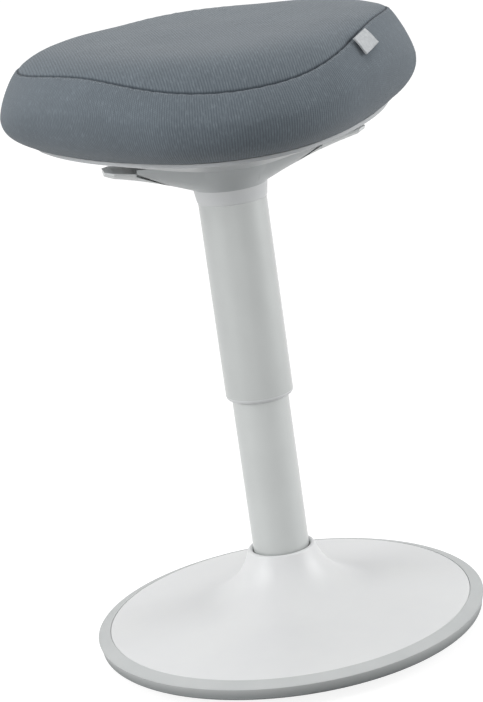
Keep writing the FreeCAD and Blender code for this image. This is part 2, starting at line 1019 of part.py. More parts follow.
def tee_nuts():
    nuts = []
    for x, y in plate_bolt_places():
        flange = disc(tee_nut_flange_radius, board_top - tee_nut_flange, board_top, x, y)
        barrel = disc(tee_nut_radius, board_low + 0.5, board_top - tee_nut_flange, x, y)
        thread = disc(plate_bolt_radius + screw_gap, board_low, board_top + 1, x, y)
        nuts.append(flange.fuse(barrel).cut(thread))
    return nuts


cushion_floor = board_top + cushion_gap
cushion_widest_height = shell_rim_height + cushion_side_height
cushion_seam_height = cushion_widest_height + cushion_band_height
cushion_crown_height = cushion_seam_height + cushion_crown_rise


def cushion_rings():
    """Outlines of the cushion from its floor, round its side and over its edge to the crown."""
    low = shell_rim_height + 2 * cushion_gap
    yield share_inside_shell(cushion_floor, cushion_floor_gap), cushion_floor, 0
    yield shell_rim_inner_share - cushion_overhang, shell_rim_height + cushion_gap, 0
    power = 2 / cushion_side_square
    swell = 1 - cushion_side_centre
    start_share = shell_rim_share + cushion_overhang
    start = math.asin(((start_share - cushion_side_centre) / swell) ** (1 / power))
    steps = 5
    for step in range(steps + 1):
        angle = mix(start, math.pi / 2, step / steps)
        share = cushion_side_centre + swell * math.sin(angle) ** power
        drop = abs(math.cos(angle) / math.cos(start)) ** power
        yield share, mix(cushion_widest_height, low, drop), mix(widest_tilt, 0, drop)
    for step in range(1, 4):
        angle = math.radians(30 * step)
        rise = math.sin(angle) ** (2 / cushion_band_square)
        draw_in = 1 - abs(math.cos(angle)) ** (2 / cushion_band_square)
        share = mix(1.0, cushion_seam_share, draw_in)
        yield share, mix(cushion_widest_height, cushion_seam_height, rise), mix(widest_tilt, seam_tilt, rise)
    for step in range(1, 5):
        inward = mix(1.0, cushion_crown_share, (step / 4) ** 1.5)
        drop = inward**cushion_edge_roll
        height = mix(cushion_crown_height, cushion_seam_height, drop)
        yield cushion_seam_share * inward, height, seam_tilt * drop


def seat_cushion():
    return Part.makeLoft([seat_outline(*ring) for ring in cushion_rings()], True, True)


def fabric_tag(cushion):
    """A folded strip of fabric that hangs from the seam down the cushion's side."""
    side = math.radians(tag_angle)
    tag = block(0, tag_thickness, -tag_width / 2, tag_width / 2, -tag_length, 0)
    tag.rotate(origin, point(0, 1, 0), -(90 - tag_slope))
    tag.translate(point(cushion_seam_share * side_reach + tag_length, 0, tag_over_seam))
    tag.rotate(origin, up, tag_angle)
    tag.rotate(origin, point(1, 0, 0), -seam_tilt)
    tag.translate(point(0, 0, cushion_seam_height))
    away = point(math.cos(side), math.sin(side), 0)
    gap = tag.distToShape(cushion)[0]
    for _ in range(6):
        tag.translate(away * (tag_gap - gap))
        gap = tag.distToShape(cushion)[0]
    return tag


os.makedirs("parts", exist_ok=True)

save("rocker_sole", rocker_sole())
save("rubber_ring", rubber_ring())
save("base_weight", base_weight())
save("base_shell", base_shell())
save_group("base_screws", base_screws())

save("column_tube", column_tube())
save("guide_bush", guide_bush())
save("piston_rod", piston_rod())
save("piston", piston())
save("rod_clip", rod_clip())
save("lower_washer", lower_washer())
save("thrust_ring", thrust_ring())
save("upper_washer", upper_washer())
save("stop_buffer", stop_buffer())

save("gas_cylinder", gas_cylinder())
save("rod_guide", rod_guide())
save("valve_body", valve_body())
save("release_pin", release_pin())
save("column_sleeve", column_sleeve())
save("sleeve_end_ring", sleeve_end_ring())
save("sleeve_collar", sleeve_collar())

save("hub_housing", turned_with_seat(hub_housing()))
left_lever = lever(left_reach)
left_lever.rotate(origin, up, 180)
save("lever_left", turned_with_seat(left_lever))
save("lever_right", turned_with_seat(lever(right_reach)))
save_group("lever_pins", [turned_with_seat(pin) for pin in lever_pins()])
save("release_yoke", turned_with_seat(release_yoke()))

save("seat_plate", turned_with_seat(seat_plate()))
save_group("plate_bolts", [turned_with_seat(bolt) for bolt in plate_bolts()])
save_group("hub_screws", [turned_with_seat(screw) for screw in hub_screws()])
save("undershell", turned_with_seat(undershell()))
save("seat_board", turned_with_seat(seat_board()))
save_group("tee_nuts", [turned_with_seat(nut) for nut in tee_nuts()])

cushion = seat_cushion()
save("seat_cushion", turned_with_seat(cushion))
save("fabric_tag", turned_with_seat(fabric_tag(cushion)))
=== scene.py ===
import math

import bpy
import numpy as np
from mathutils import Matrix, Vector, noise
from mathutils.bvhtree import BVHTree


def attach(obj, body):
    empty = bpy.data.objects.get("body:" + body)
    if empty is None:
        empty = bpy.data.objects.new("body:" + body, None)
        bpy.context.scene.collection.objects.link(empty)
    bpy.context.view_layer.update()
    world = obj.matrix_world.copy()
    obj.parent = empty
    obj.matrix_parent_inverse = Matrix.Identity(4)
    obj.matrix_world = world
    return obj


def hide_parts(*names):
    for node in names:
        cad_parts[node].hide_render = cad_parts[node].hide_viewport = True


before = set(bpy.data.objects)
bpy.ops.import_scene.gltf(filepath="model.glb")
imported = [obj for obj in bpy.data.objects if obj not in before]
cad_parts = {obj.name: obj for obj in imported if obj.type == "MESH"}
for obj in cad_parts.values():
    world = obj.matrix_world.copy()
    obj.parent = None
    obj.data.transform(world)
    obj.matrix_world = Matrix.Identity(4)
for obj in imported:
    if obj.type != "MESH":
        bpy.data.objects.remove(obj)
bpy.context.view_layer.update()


# Weighted base: sole, weight and screws
# The sole is moulded in dark plastic with a leather-like grip grain. The weight is a painted
# iron casting, and six zinc-plated screws clamp sole, weight and shell together from below.


def tone(red, green, blue):
    """A colour as the eye reads it, 0 to 255 a channel, turned into the light it reflects."""
    linear = []
    for channel in (red, green, blue):
        share = channel / 255
        linear.append(share / 12.92 if share <= 0.04045 else ((share + 0.055) / 1.055) ** 2.4)
    return (*linear, 1.0)


def add_node(tree, kind, sockets=None, **settings):
    node = tree.nodes.new(kind)
    for name, value in settings.items():
        setattr(node, name, value)
    for name, value in (sockets or {}).items():
        if isinstance(value, bpy.types.NodeSocket):
            tree.links.new(value, node.inputs[name])
        else:
            node.inputs[name].default_value = value
    return node


def new_surface(name, **sockets):
    """A new material with one shader, and the coordinates of the object itself."""
    material = bpy.data.materials.new(name)
    material.use_nodes = True
    tree = material.node_tree
    tree.nodes.clear()
    shader = add_node(tree, "ShaderNodeBsdfPrincipled")
    for socket, value in sockets.items():
        shader.inputs[socket.replace("_", " ")].default_value = value
    add_node(tree, "ShaderNodeOutputMaterial", {"Surface": shader.outputs["BSDF"]})
    place = add_node(tree, "ShaderNodeTexCoord").outputs["Object"]
    return material, tree, shader, place


def spread(tree, value, low, high, to_low=0.0, to_high=1.0):
    """A value between low and high, spread over another range."""
    limits = {"From Min": low, "From Max": high, "To Min": to_low, "To Max": to_high}
    return add_node(tree, "ShaderNodeMapRange", {"Value": value, **limits}).outputs["Result"]


def two_tones(tree, share, first, second, **settings):
    """One colour turned into another by a share. Each is a tone or another node's colour."""
    mixed = {0: share, 6: first, 7: second}
    return add_node(tree, "ShaderNodeMix", mixed, data_type="RGBA", **settings).outputs[2]


def speckle(tree, where, per_metre, detail=2.0):
    """An uneven value: soft clouds at a few to the metre, fine grain at hundreds."""
    sockets = {"Vector": where, "Scale": per_metre, "Detail": detail}
    return add_node(tree, "ShaderNodeTexNoise", sockets).outputs["Fac"]


def stretched(tree, where, scale):
    mapping = add_node(tree, "ShaderNodeMapping", {"Vector": where, "Scale": scale})
    return mapping.outputs["Vector"]


def reckon(tree, operation, *values):
    """The result of one sum on numbers or other nodes' values."""
    node = add_node(tree, "ShaderNodeMath", dict(enumerate(values)), operation=operation)
    return node.outputs[0]


def dress(tree, shader, colour, height, depth, strength, gloss=None):
    """Lead a surface's colour, its relief and its roughness into its shader."""
    tree.links.new(colour, shader.inputs["Base Color"])
    relief = {"Height": height, "Distance": depth, "Strength": strength}
    bump = add_node(tree, "ShaderNodeBump", relief)
    tree.links.new(bump.outputs["Normal"], shader.inputs["Normal"])
    if gloss is not None:
        tree.links.new(gloss, shader.inputs["Roughness"])


clouds_per_metre = 18.0


def grained(name, light, dark, roughness, grain_per_metre, depth, **sockets):
    """A moulded, cast or coated surface: faint clouds in its colour and gloss, over a grain."""
    material, tree, shader, place = new_surface(name, **sockets)
    cloud = speckle(tree, place, clouds_per_metre, 3.0)
    colour = two_tones(tree, spread(tree, cloud, 0.3, 0.7), dark, light)
    gloss = spread(tree, cloud, 0.3, 0.7, roughness - 0.04, roughness + 0.05)
    dress(tree, shader, colour, speckle(tree, place, grain_per_metre), depth, 1.0, gloss)
    return material


def give(material, *nodes):
    """Put a finish on the solids that the frame brings."""
    for name in nodes:
        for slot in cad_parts[name].material_slots:
            slot.material = material


sole_plastic = grained(
    "sole_grip_plastic", tone(70, 72, 74), tone(58, 60, 62), 0.55, 900.0, 0.00025
)
cast_iron = grained("cast_iron", tone(72, 73, 76), tone(56, 57, 60), 0.6, 420.0, 0.0004)
give(sole_plastic, "rocker_sole")
give(cast_iron, "base_weight")


def plated_steel(name, light, dark, roughness, lines_per_metre):
    """Zinc-plated or bright steel with the fine lines of its turning."""
    material, tree, shader, place = new_surface(name, Metallic=1.0)
    lines = speckle(tree, stretched(tree, place, (60.0, 60.0, lines_per_metre)), 1.0, 3.0)
    colour = two_tones(tree, spread(tree, lines, 0.35, 0.65), dark, light)
    gloss = spread(tree, lines, 0.3, 0.7, roughness - 0.06, roughness + 0.08)
    dress(tree, shader, colour, lines, 0.00003, 0.6, gloss)
    return material


zinc = plated_steel("zinc_plate", tone(198, 200, 200), tone(172, 174, 172), 0.3, 2400.0)
give(zinc, "base_screws")


# Rubber ring
# A soft grey rubber tyre round the rim of the base, moulded in one piece and clamped by its
# tongue. Its outer side has a fine matt grain, with painted shade that darkens it towards the
# floor.

ring_light = tone(199, 201, 201)
ring_dark = tone(191, 194, 194)
# The dark tone and the two heights below are painted shade on the ring's lower side.
ring_painted_shade_tone = tone(108, 113, 114)
painted_shade_low = 0.010
painted_shade_high = 0.023

ring_rubber, tree, shader, place = new_surface("grey_ring_rubber")
height = add_node(tree, "ShaderNodeSeparateXYZ", {"Vector": place}).outputs["Z"]
# Painted shade: the rubber turns to the dark tone near the floor, in place of the shade under the
# rim.
foot = spread(tree, height, painted_shade_low, painted_shade_high, 1.0, 0.0)
dust = speckle(tree, place, 24.0, 4.0)
dusty = two_tones(tree, spread(tree, dust, 0.3, 0.7), ring_dark, ring_light)
colour = two_tones(tree, foot, dusty, ring_painted_shade_tone)
matt = spread(tree, dust, 0.3, 0.7, 0.58, 0.7)
dress(tree, shader, colour, speckle(tree, place, 1800.0), 0.00012, 0.8, matt)
give(ring_rubber, "rubber_ring")


# Trumpet-shaped shell
# The cover of the base, moulded in pale satin plastic: a shallow cone that turns up into a
# slim neck round the column. It has the light spark-eroded grain of its mould.

shell_plastic = grained(
    "pale_shell_plastic", tone(227, 228, 228), tone(223, 224, 225), 0.4, 2600.0, 0.00005
)
give(shell_plastic, "base_shell")


# Column: lower tube, bush and the gas lift's parts
# Drawn steel under a silver-grey powder coat, with a white bush in its mouth. The gas lift is
# a black enamelled cylinder on a bright rod, with plastic and rubber round the rod's foot.

column_paint = grained(
    "column_powder_coat",
    tone(198, 201, 200),
    tone(192, 195, 194),
    0.34,
    1500.0,
    0.00006,
    Metallic=0.2,
    Coat_Weight=0.25,
    Coat_Roughness=0.3,
)
give(column_paint, "column_tube")

white_plastic = grained(
    "natural_white_plastic", tone(226, 224, 216), tone(214, 212, 203), 0.4, 1200.0, 0.00006
)
black_enamel = grained(
    "black_enamel",
    tone(36, 36, 38),
    tone(26, 26, 28),
    0.3,
    700.0,
    0.00008,
    Coat_Weight=0.4,
    Coat_Roughness=0.2,
)
dark_plastic = grained(
    "dark_inner_plastic", tone(60, 61, 63), tone(48, 49, 51), 0.5, 1100.0, 0.0001
)
buffer_rubber = grained(
    "black_buffer_rubber", tone(38, 38, 38), tone(27, 27, 27), 0.75, 1300.0, 0.0001
)
bright_steel = plated_steel(
    "bright_rod_steel", tone(206, 207, 208), tone(184, 185, 187), 0.2, 5200.0
)
give(white_plastic, "guide_bush", "thrust_ring", "piston")
give(black_enamel, "gas_cylinder")
give(dark_plastic, "rod_guide", "valve_body")
give(buffer_rubber, "stop_buffer")
give(bright_steel, "piston_rod", "lower_washer", "upper_washer", "release_pin")
give(zinc, "rod_clip")


# Upper sleeve with its end ring and collar
# A wider tube in the same powder coat slides over the lower one with the seat. A rounded
# plastic ring is pressed into its foot, and a plain plastic collar covers its top.

sleeve_paint = grained(
    "sleeve_powder_coat",
    tone(188, 191, 190),
    tone(182, 185, 184),
    0.36,
    1500.0,
    0.00006,
    Metallic=0.25,
    Coat_Weight=0.5,
    Coat_Roughness=0.25,
)
collar_plastic = grained(
    "collar_plastic", tone(212, 214, 215), tone(206, 208, 209), 0.4, 2200.0, 0.00006
)
give(sleeve_paint, "column_sleeve")
give(collar_plastic, "sleeve_end_ring", "sleeve_collar")


# Hub and release levers
# The hub is moulded in mid-grey satin plastic, and so is each lever, in a paler grey. The
# levers turn on steel pins and press a white yoke down on the gas lift's pin.

hub_plastic = grained(
    "hub_plastic", tone(184, 188, 189), tone(177, 181, 182), 0.34, 2400.0, 0.00005
)
lever_plastic = grained(
    "lever_plastic", tone(222, 225, 225), tone(217, 220, 220), 0.38, 2400.0, 0.00005
)
give(hub_plastic, "hub_housing")
give(lever_plastic, "lever_left", "lever_right")
give(bright_steel, "lever_pins")
give(white_plastic, "release_yoke")


# Seat plate, fasteners, undershell and board
# A black enamelled steel plate with a tapered socket carries the seat. Four bolts go through it
# and the undershell's bosses into T-nuts in a birch plywood board.

give(black_enamel, "seat_plate")
give(zinc, "plate_bolts", "tee_nuts", "hub_screws")

undershell_plastic = grained(
    "undershell_plastic", tone(176, 179, 181), tone(169, 172, 174), 0.42, 1800.0, 0.00008
)
give(undershell_plastic, "undershell")

ply_pair_height = 0.0028

plywood, tree, shader, place = new_surface("birch_plywood", Roughness=0.62)
figure = speckle(tree, stretched(tree, place, (9.0, 160.0, 160.0)), 1.0, 4.0)
face = two_tones(
    tree, spread(tree, figure, 0.35, 0.65), tone(196, 160, 118), tone(219, 188, 148)
)
height = add_node(tree, "ShaderNodeSeparateXYZ", {"Vector": place}).outputs["Z"]
layer = reckon(tree, "SINE", reckon(tree, "MULTIPLY", height, 2 * math.pi / ply_pair_height))
ply_share = spread(tree, layer, -0.2, 0.6, 0.0, 0.35)
plies = two_tones(tree, ply_share, face, tone(150, 116, 84), blend_type="MULTIPLY")
dress(tree, shader, plies, figure, 0.0002, 0.5)
give(plywood, "seat_board")


# Cushion
# A foam pad under a cover of ribbed, flecked blue-grey knit, sewn from a top panel and a side
# band. The cover is drawn over the undershell's rim and stapled to the board inside.

nose_angle = math.radians(-82)
seat_turn = math.radians(8)
seat_size = 0.1764
corner_swell = 0.102
side_swell = 0.006
seat_centre = -0.0004
seam_share = 0.8767
seam_corner_share = 0.0078
seam_level = 0.53765
seam_corner_dip = 0.00562
seam_corner_twist = 0.00091
seam_nose_dip = 0.00659
seam_side_tilt = 0.00285
seam_saddle = 0.00124
widest_level = 0.5008
widest_corner_dip = 0.0063
widest_nose_rise = 0.00635
crown_height = 0.5507
crown_power = 8.85
side_power = 2 / 2.62
band_power = 2 / 1.34
rim_share = 0.86
rim_height = 0.4689
tuck_share = 0.819
tuck_height = 0.4685
floor_share = 0.618
floor_height = 0.4611
around = 360
side_steps = 15
band_steps = 8
fine_steps = 400
seam_depth = 0.0014
seam_half_width = 0.0009
pucker = 0.00022
pucker_reach = 0.0045
pucker_waves = ((97, 1.0, 0.0), (61, 0.7, 1.3), (143, 0.5, 0.4))
unevenness = 0.00045
unevenness_per_metre = 22
swell_least = -0.0004
swell_most = 0.0010
swell_start = 0.004
swell_growth = 0.014
rim_clear = 0.002
held_strip = 0.004
held_reach = 0.007
cloth_frames = 20
smoothing_rounds = 24

theta = np.arange(around) * 2 * math.pi / around
lobe = theta - nose_angle
once = np.cos(lobe)
aside = np.sin(lobe)
thrice = np.cos(3 * lobe)
outline = seat_size * (1 + corner_swell * thrice + side_swell * np.cos(6 * lobe))
seam_reach = (seam_share + seam_corner_share * thrice) * outline
seam_height = (
    seam_level
    - seam_corner_dip * thrice
    - seam_corner_twist * np.sin(3 * lobe)
    - seam_nose_dip * once
    + seam_side_tilt * aside
    - seam_saddle * np.cos(2 * lobe)
)
widest_height = widest_level - widest_corner_dip * thrice + widest_nose_rise * once


def ring_at(reach, height):
    return np.stack(
        [seat_centre + reach * np.cos(theta), reach * np.sin(theta), height + 0 * theta], axis=1
    )


def side_ring(turn):
    """A ring of the lower side, from the undershell's rim up to the widest line."""
    start = math.asin(((rim_share - 0.5) / 0.5) ** (1 / side_power))
    angle = start + (math.pi / 2 - start) * turn
    share = 0.5 + 0.5 * math.sin(angle) ** side_power
    drop = (max(math.cos(angle), 0.0) / math.cos(start)) ** side_power
    return ring_at(share * outline, widest_height + (rim_height - widest_height) * drop)


def band_ring(turn):
    """A ring of the upper side, from the widest line up to the seam."""
    angle = math.pi / 2 * (1 - turn)
    out = math.sin(angle) ** band_power
    rise = math.cos(angle) ** band_power
    reach = seam_reach + (outline - seam_reach) * out
    return ring_at(reach, widest_height + (seam_height - widest_height) * rise)


def top_ring(share):
    """A ring of the top panel, from the seam at 1 to the middle at 0."""
    fall = (crown_height - seam_height) * share**crown_power
    return ring_at(seam_reach * share, crown_height - fall)


near_seam = [0.0004, 0.0008, 0.0013, 0.002, 0.0032, 0.005, 0.0075, 0.0105]
top_steps = [0.0145, 0.019, 0.025, 0.033, 0.043, 0.055, 0.069, 0.085, 0.101, 0.117, 0.131]
top_steps += [0.143, 0.150]

fine = np.linspace(0, 1, fine_steps)
fine_rings = [band_ring(turn) for turn in fine]
fine_height = np.array([ring.mean(axis=0)[2] for ring in fine_rings])
fine_reach = np.array([np.linalg.norm(ring[:, :2], axis=1).mean() for ring in fine_rings])
fine_walk = np.cumsum(np.hypot(np.diff(fine_height), np.diff(fine_reach)))
fine_walk = np.concatenate([[0], fine_walk])
band_length = fine_walk[-1]
below_seam = near_seam + list(np.linspace(0.0145, band_length, band_steps))
band_turns = np.interp([band_length - d for d in reversed(below_seam)], fine_walk, fine)

rings = [ring_at(floor_share * outline * share, floor_height) for share in (0.02, 0.35, 0.7, 1.0)]
rings.append(ring_at(tuck_share * outline, tuck_height))
rings += [side_ring(turn) for turn in np.linspace(0, 1, side_steps)[:-1]]
rings += [band_ring(turn) for turn in band_turns]
seam_index = len(rings)
rings.append(band_ring(1.0))
mean_seam = float(seam_reach.mean())
rings += [top_ring(1 - distance / mean_seam) for distance in near_seam + top_steps]
form = np.array(rings)

step = np.linalg.norm(np.diff(form, axis=0), axis=2)
walked = np.concatenate([np.zeros((1, around)), np.cumsum(step, axis=0)])
from_seam = walked - walked[seam_index]


def outward(points):
    """Normals of a closed stack of rings."""
    up_side = np.gradient(points, axis=0)
    along = np.roll(points, -1, axis=1) - np.roll(points, 1, axis=1)
    normal = np.cross(along, up_side)
    return normal / np.maximum(np.linalg.norm(normal, axis=2, keepdims=True), 1e-9)


def new_object(name, data):
    """An object at the origin, in the scene."""
    piece = bpy.data.objects.new(name, data)
    bpy.context.scene.collection.objects.link(piece)
    return piece


def closed_rings(name, points):
    """A mesh from stacked rings, closed at its floor and its crown."""
    count = len(points)
    corners = points.reshape(-1, 3)
    middle_low = points[0].mean(axis=0)
    middle_high = points[-1].mean(axis=0)
    vertices = np.vstack([corners, middle_low, middle_high])
    low, high = len(corners), len(corners) + 1
    faces = []
    for ring in range(count - 1):
        for index in range(around):
            beside = (index + 1) % around
            a, b = ring * around + index, ring * around + beside
            faces.append((a, b, b + around, a + around))
    for index in range(around):
        beside = (index + 1) % around
        faces.append((low, beside, index))
        faces.append(((count - 1) * around + index, (count - 1) * around + beside, high))
    mesh = bpy.data.meshes.new(name)
    mesh.from_pydata(vertices.tolist(), [], faces)
    mesh.update()
    return mesh


normals = outward(form)


def swollen(points, normals, shrink, voxel, force, cap):
    """How far a cover under the foam's pressure moves each point of the form, held at its seam."""
    slack_mesh = closed_rings("cushion_slack", points - normals * shrink)
    slack = new_object("cushion_slack", slack_mesh)
    remesh = slack.modifiers.new("Remesh", "REMESH")
    remesh.mode = "VOXEL"
    remesh.voxel_size = voxel
    depsgraph = bpy.context.evaluated_depsgraph_get()
    cover_mesh = bpy.data.meshes.new_from_object(slack.evaluated_get(depsgraph))
    cover = new_object("cushion_cover", cover_mesh)
    held = cover.vertex_groups.new(name="held")
    seam_ring = points[seam_index]
    strip = np.vstack([seam_ring - [0, 0, held_strip], seam_ring + [0, 0, held_strip]])
    seam_tree = BVHTree.FromPolygons(
        [tuple(point) for point in strip],
        [(i, (i + 1) % around, (i + 1) % around + around, i + around) for i in range(around)],
    )
    for vertex in cover_mesh.vertices:
        distance = seam_tree.find_nearest(vertex.co)[3]
        if distance < held_reach or vertex.co.z < rim_height + held_strip:
            held.add([vertex.index], 1.0, "REPLACE")
    start = np.array([vertex.co for vertex in cover_mesh.vertices])
    cloth = cover.modifiers.new("Cloth", "CLOTH")
    cloth.settings.quality = 5
    cloth.settings.mass = 0.3
    cloth.settings.tension_stiffness = 30
    cloth.settings.compression_stiffness = 30
    cloth.settings.shear_stiffness = 15
    cloth.settings.bending_stiffness = 4
    cloth.settings.vertex_group_mass = "held"
    cloth.settings.use_pressure = True
    cloth.settings.uniform_pressure_force = force
    cloth.settings.effector_weights.gravity = 0
    cloth.collision_settings.use_collision = False
    for moment in range(1, cloth_frames + 1):
        bpy.context.scene.frame_set(moment)
    depsgraph = bpy.context.evaluated_depsgraph_get()
    settled_mesh = cover.evaluated_get(depsgraph).to_mesh()
    settled = np.array([vertex.co for vertex in settled_mesh.vertices])
    move = settled - start
    far = np.linalg.norm(move, axis=1, keepdims=True)
    settled = start + move * np.minimum(1.0, cap / np.maximum(far, 1e-9))
    polygons = [tuple(face.vertices) for face in cover_mesh.polygons]
    surface = BVHTree.FromPolygons([tuple(p) for p in settled], polygons)
    shift = np.zeros(points.shape[:2])
    for ring in range(points.shape[0]):
        for index in range(around):
            spot = surface.find_nearest(Vector(points[ring, index]))[0]
            shift[ring, index] = (np.array(spot) - points[ring, index]) @ normals[ring, index]
    cover.evaluated_get(depsgraph).to_mesh_clear()
    for spare in (slack, cover):
        mesh = spare.data
        bpy.data.objects.remove(spare)
        bpy.data.meshes.remove(mesh)
    bpy.context.scene.frame_set(1)
    for _ in range(smoothing_rounds):
        beside = np.roll(shift, 1, axis=1) + np.roll(shift, -1, axis=1)
        shift = (shift + beside / 2) / 2
        shift[1:-1] = (shift[1:-1] + (shift[2:] + shift[:-2]) / 2) / 2
    return shift


swell = np.zeros(form.shape[:2])
shift = swollen(form, normals, shrink=0.003, voxel=0.005, force=4.0, cap=0.0055)
away = np.clip((np.abs(from_seam) - swell_start) / swell_growth, 0, 1)
covered = form[:, :, 2] > rim_height + rim_clear
swell = np.clip(shift, swell_least, swell_most) * away * away * (3 - 2 * away) * covered

groove = -seam_depth * np.exp(-((from_seam / seam_half_width) ** 2))
pulled = np.exp(-np.abs(from_seam) / pucker_reach) * pucker
wave = sum(share * np.sin(theta * count + start) for count, share, start in pucker_waves)
uneven = np.zeros(form.shape[:2])
for ring in range(form.shape[0]):
    for index in range(around):
        if form[ring, index, 2] > rim_height + held_strip:
            spot = Vector(form[ring, index]) * unevenness_per_metre
            uneven[ring, index] = unevenness * noise.noise(spot)
form = form + normals * (groove + pulled * wave + uneven + swell)[:, :, None]

cushion_mesh = closed_rings("cushion", form)
seam_distance = cushion_mesh.attributes.new("from_seam", "FLOAT", "POINT")
middles = [from_seam[0].mean(), from_seam[-1].mean()]
seam_distance.data.foreach_set("value", np.append(from_seam.ravel(), middles).astype(np.float32))

side_line = form[seam_index - len(below_seam)]
side_walk = np.linalg.norm(np.diff(np.vstack([side_line, side_line[:1]]), axis=0), axis=1)
along_side = np.concatenate([[0], np.cumsum(side_walk)])
cloth_map = cushion_mesh.uv_layers.new(name="cloth")
turn_back = Matrix.Rotation(-seat_turn, 2)
ring_points = len(form) * around
for polygon in cushion_mesh.polygons:
    polygon.use_smooth = True
    corners = list(polygon.vertices)
    of_top = min(corners) >= seam_index * around and max(corners) != ring_points
    columns = [vertex % around for vertex in corners if vertex < ring_points]
    wraps = 0 in columns and around - 1 in columns
    for loop in polygon.loop_indices:
        vertex = cushion_mesh.loops[loop].vertex_index
        spot = cushion_mesh.vertices[vertex].co
        if of_top:
            flat = turn_back @ Vector((spot.x, spot.y))
            cloth_map.data[loop].uv = (flat.x, flat.y)
        elif vertex < ring_points:
            ring, column = divmod(vertex, around)
            if wraps and column == 0:
                column = around
            cloth_map.data[loop].uv = (along_side[column], from_seam[ring, column % around])
        else:
            cloth_map.data[loop].uv = (0.0, -0.2)

rib_pitch = 0.00225
rib_drift = 0.0007
knit_pitch = 0.0017
knit_mid = tone(101, 110, 117)
# The deep tone is both the dark yarn of the melange and painted shade in the rib valleys.
knit_deep_and_valley_shade = tone(85, 93, 100)
knit_fleck = tone(136, 145, 152)
# The next tone is painted shade, laid into the seam's groove.
seam_painted_shade_tone = tone(60, 67, 74)

knit, tree, shader, place = new_surface(
    "ribbed_knit", Sheen_Weight=0.16, Sheen_Roughness=0.5, Specular_IOR_Level=0.2
)
lay = add_node(tree, "ShaderNodeUVMap", uv_map="cloth").outputs["UV"]
spot = add_node(tree, "ShaderNodeSeparateXYZ", {"Vector": lay})
drift = speckle(tree, lay, 160.0)
drifted = reckon(tree, "MULTIPLY_ADD", drift, rib_drift, spot.outputs["X"])
rib_turn = reckon(tree, "MULTIPLY", drifted, 2 * math.pi / rib_pitch)
rib_height = spread(tree, reckon(tree, "SINE", rib_turn), -1.0, 0.55)
knit_turn = reckon(tree, "MULTIPLY", spot.outputs["Y"], 2 * math.pi / knit_pitch)
loops = reckon(tree, "SINE", reckon(tree, "MULTIPLY_ADD", rib_turn, 0.5, knit_turn))
yarn = speckle(tree, stretched(tree, lay, (950.0, 170.0, 1.0)), 1.0, 3.0)
cloud = speckle(tree, place, 26.0, 3.0)
# Painted shade: the rib valleys take the deep tone, where the ribs' own relief would shade them.
ribs_with_painted_shade = two_tones(tree, rib_height, knit_deep_and_valley_shade, knit_mid)
flecked = two_tones(tree, spread(tree, yarn, 0.54, 0.72, 0.0, 0.42), ribs_with_painted_shade, knit_fleck)
shaded = two_tones(tree, spread(tree, yarn, 0.46, 0.34, 0.0, 0.5), flecked, knit_deep_and_valley_shade)
clouding = {"Color": shaded, "Value": spread(tree, cloud, 0.3, 0.7, 0.96, 1.05)}
clouded = add_node(tree, "ShaderNodeHueSaturation", clouding).outputs["Color"]
distance = add_node(tree, "ShaderNodeAttribute", attribute_name="from_seam").outputs["Fac"]
# Painted shade: the knit turns to a dark tone within about a millimetre of the seam, where its
# groove is shaded.
seam_painted_shade = spread(tree, reckon(tree, "ABSOLUTE", distance), 0.0004, 0.0015, 0.85, 0.0)
sewn = two_tones(tree, seam_painted_shade, clouded, seam_painted_shade_tone)
weave = reckon(tree, "MULTIPLY_ADD", loops, 0.18, rib_height)
weave = reckon(tree, "MULTIPLY_ADD", yarn, 0.9, weave)
dress(tree, shader, sewn, weave, 0.00022, 0.6, spread(tree, yarn, 0.3, 0.7, 0.78, 0.95))
cushion_mesh.materials.append(knit)

cushion = new_object("cushion", cushion_mesh)
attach(cushion, "seat")
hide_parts("seat_cushion")


# Seam stitches
# A lockstitch in grey thread runs round the side band just under the seam and holds the seam
# allowance flat. Each stitch is a short, slightly sunk bead of thread.

stitch_drop = 0.0032
stitch_length = 0.0026
stitch_pitch = 0.0040
thread_radius = 0.00028
stitch_least = 0.86
stitch_most = 1.1
stitch_raise = 0.25
stitch_seed = 7

thread, tree, shader, place = new_surface("grey_thread", Roughness=0.6, Sheen_Weight=0.2)
twist = speckle(tree, place, 2600.0)
colour = two_tones(tree, twist, tone(98, 106, 114), tone(128, 136, 143))
dress(tree, shader, colour, twist, 0.0001, 0.8)

group = bpy.data.node_groups.new("seam_stitches", "GeometryNodeTree")
for name, kind in (
    ("Line", "NodeSocketGeometry"),
    ("Pitch", "NodeSocketFloat"),
    ("Length", "NodeSocketFloat"),
    ("Thread radius", "NodeSocketFloat"),
    ("Seed", "NodeSocketInt"),
):
    group.interface.new_socket(name=name, in_out="INPUT", socket_type=kind)
group.interface.new_socket(name="Stitches", in_out="OUTPUT", socket_type="NodeSocketGeometry")
given = group.nodes.new("NodeGroupInput")
line = add_node(group, "GeometryNodeMeshToCurve", {"Mesh": given.outputs["Line"]})
spaced = add_node(group, "GeometryNodeResampleCurve", {"Curve": line.outputs["Curve"]})
spaced.mode = "LENGTH"
group.links.new(given.outputs["Pitch"], spaced.inputs["Length"])
bead = add_node(group, "GeometryNodeMeshUVSphere", {"Segments": 8, "Rings": 6, "Radius": 1.0})
half = reckon(group, "MULTIPLY", given.outputs["Length"], 0.5)
thick = given.outputs["Thread radius"]
size = add_node(group, "ShaderNodeCombineXYZ", {"X": half, "Y": thick, "Z": thick})
bead_shape = {"Geometry": bead.outputs["Mesh"], "Scale": size.outputs["Vector"]}
long_bead = add_node(group, "GeometryNodeTransform", bead_shape)
tangent = add_node(group, "GeometryNodeInputTangent")
heading = {"Vector": tangent.outputs["Tangent"]}
turned = add_node(group, "FunctionNodeAlignRotationToVector", heading, axis="X")
chance = {"Seed": given.outputs["Seed"], 2: stitch_least, 3: stitch_most}
vary = add_node(group, "FunctionNodeRandomValue", chance, data_type="FLOAT")
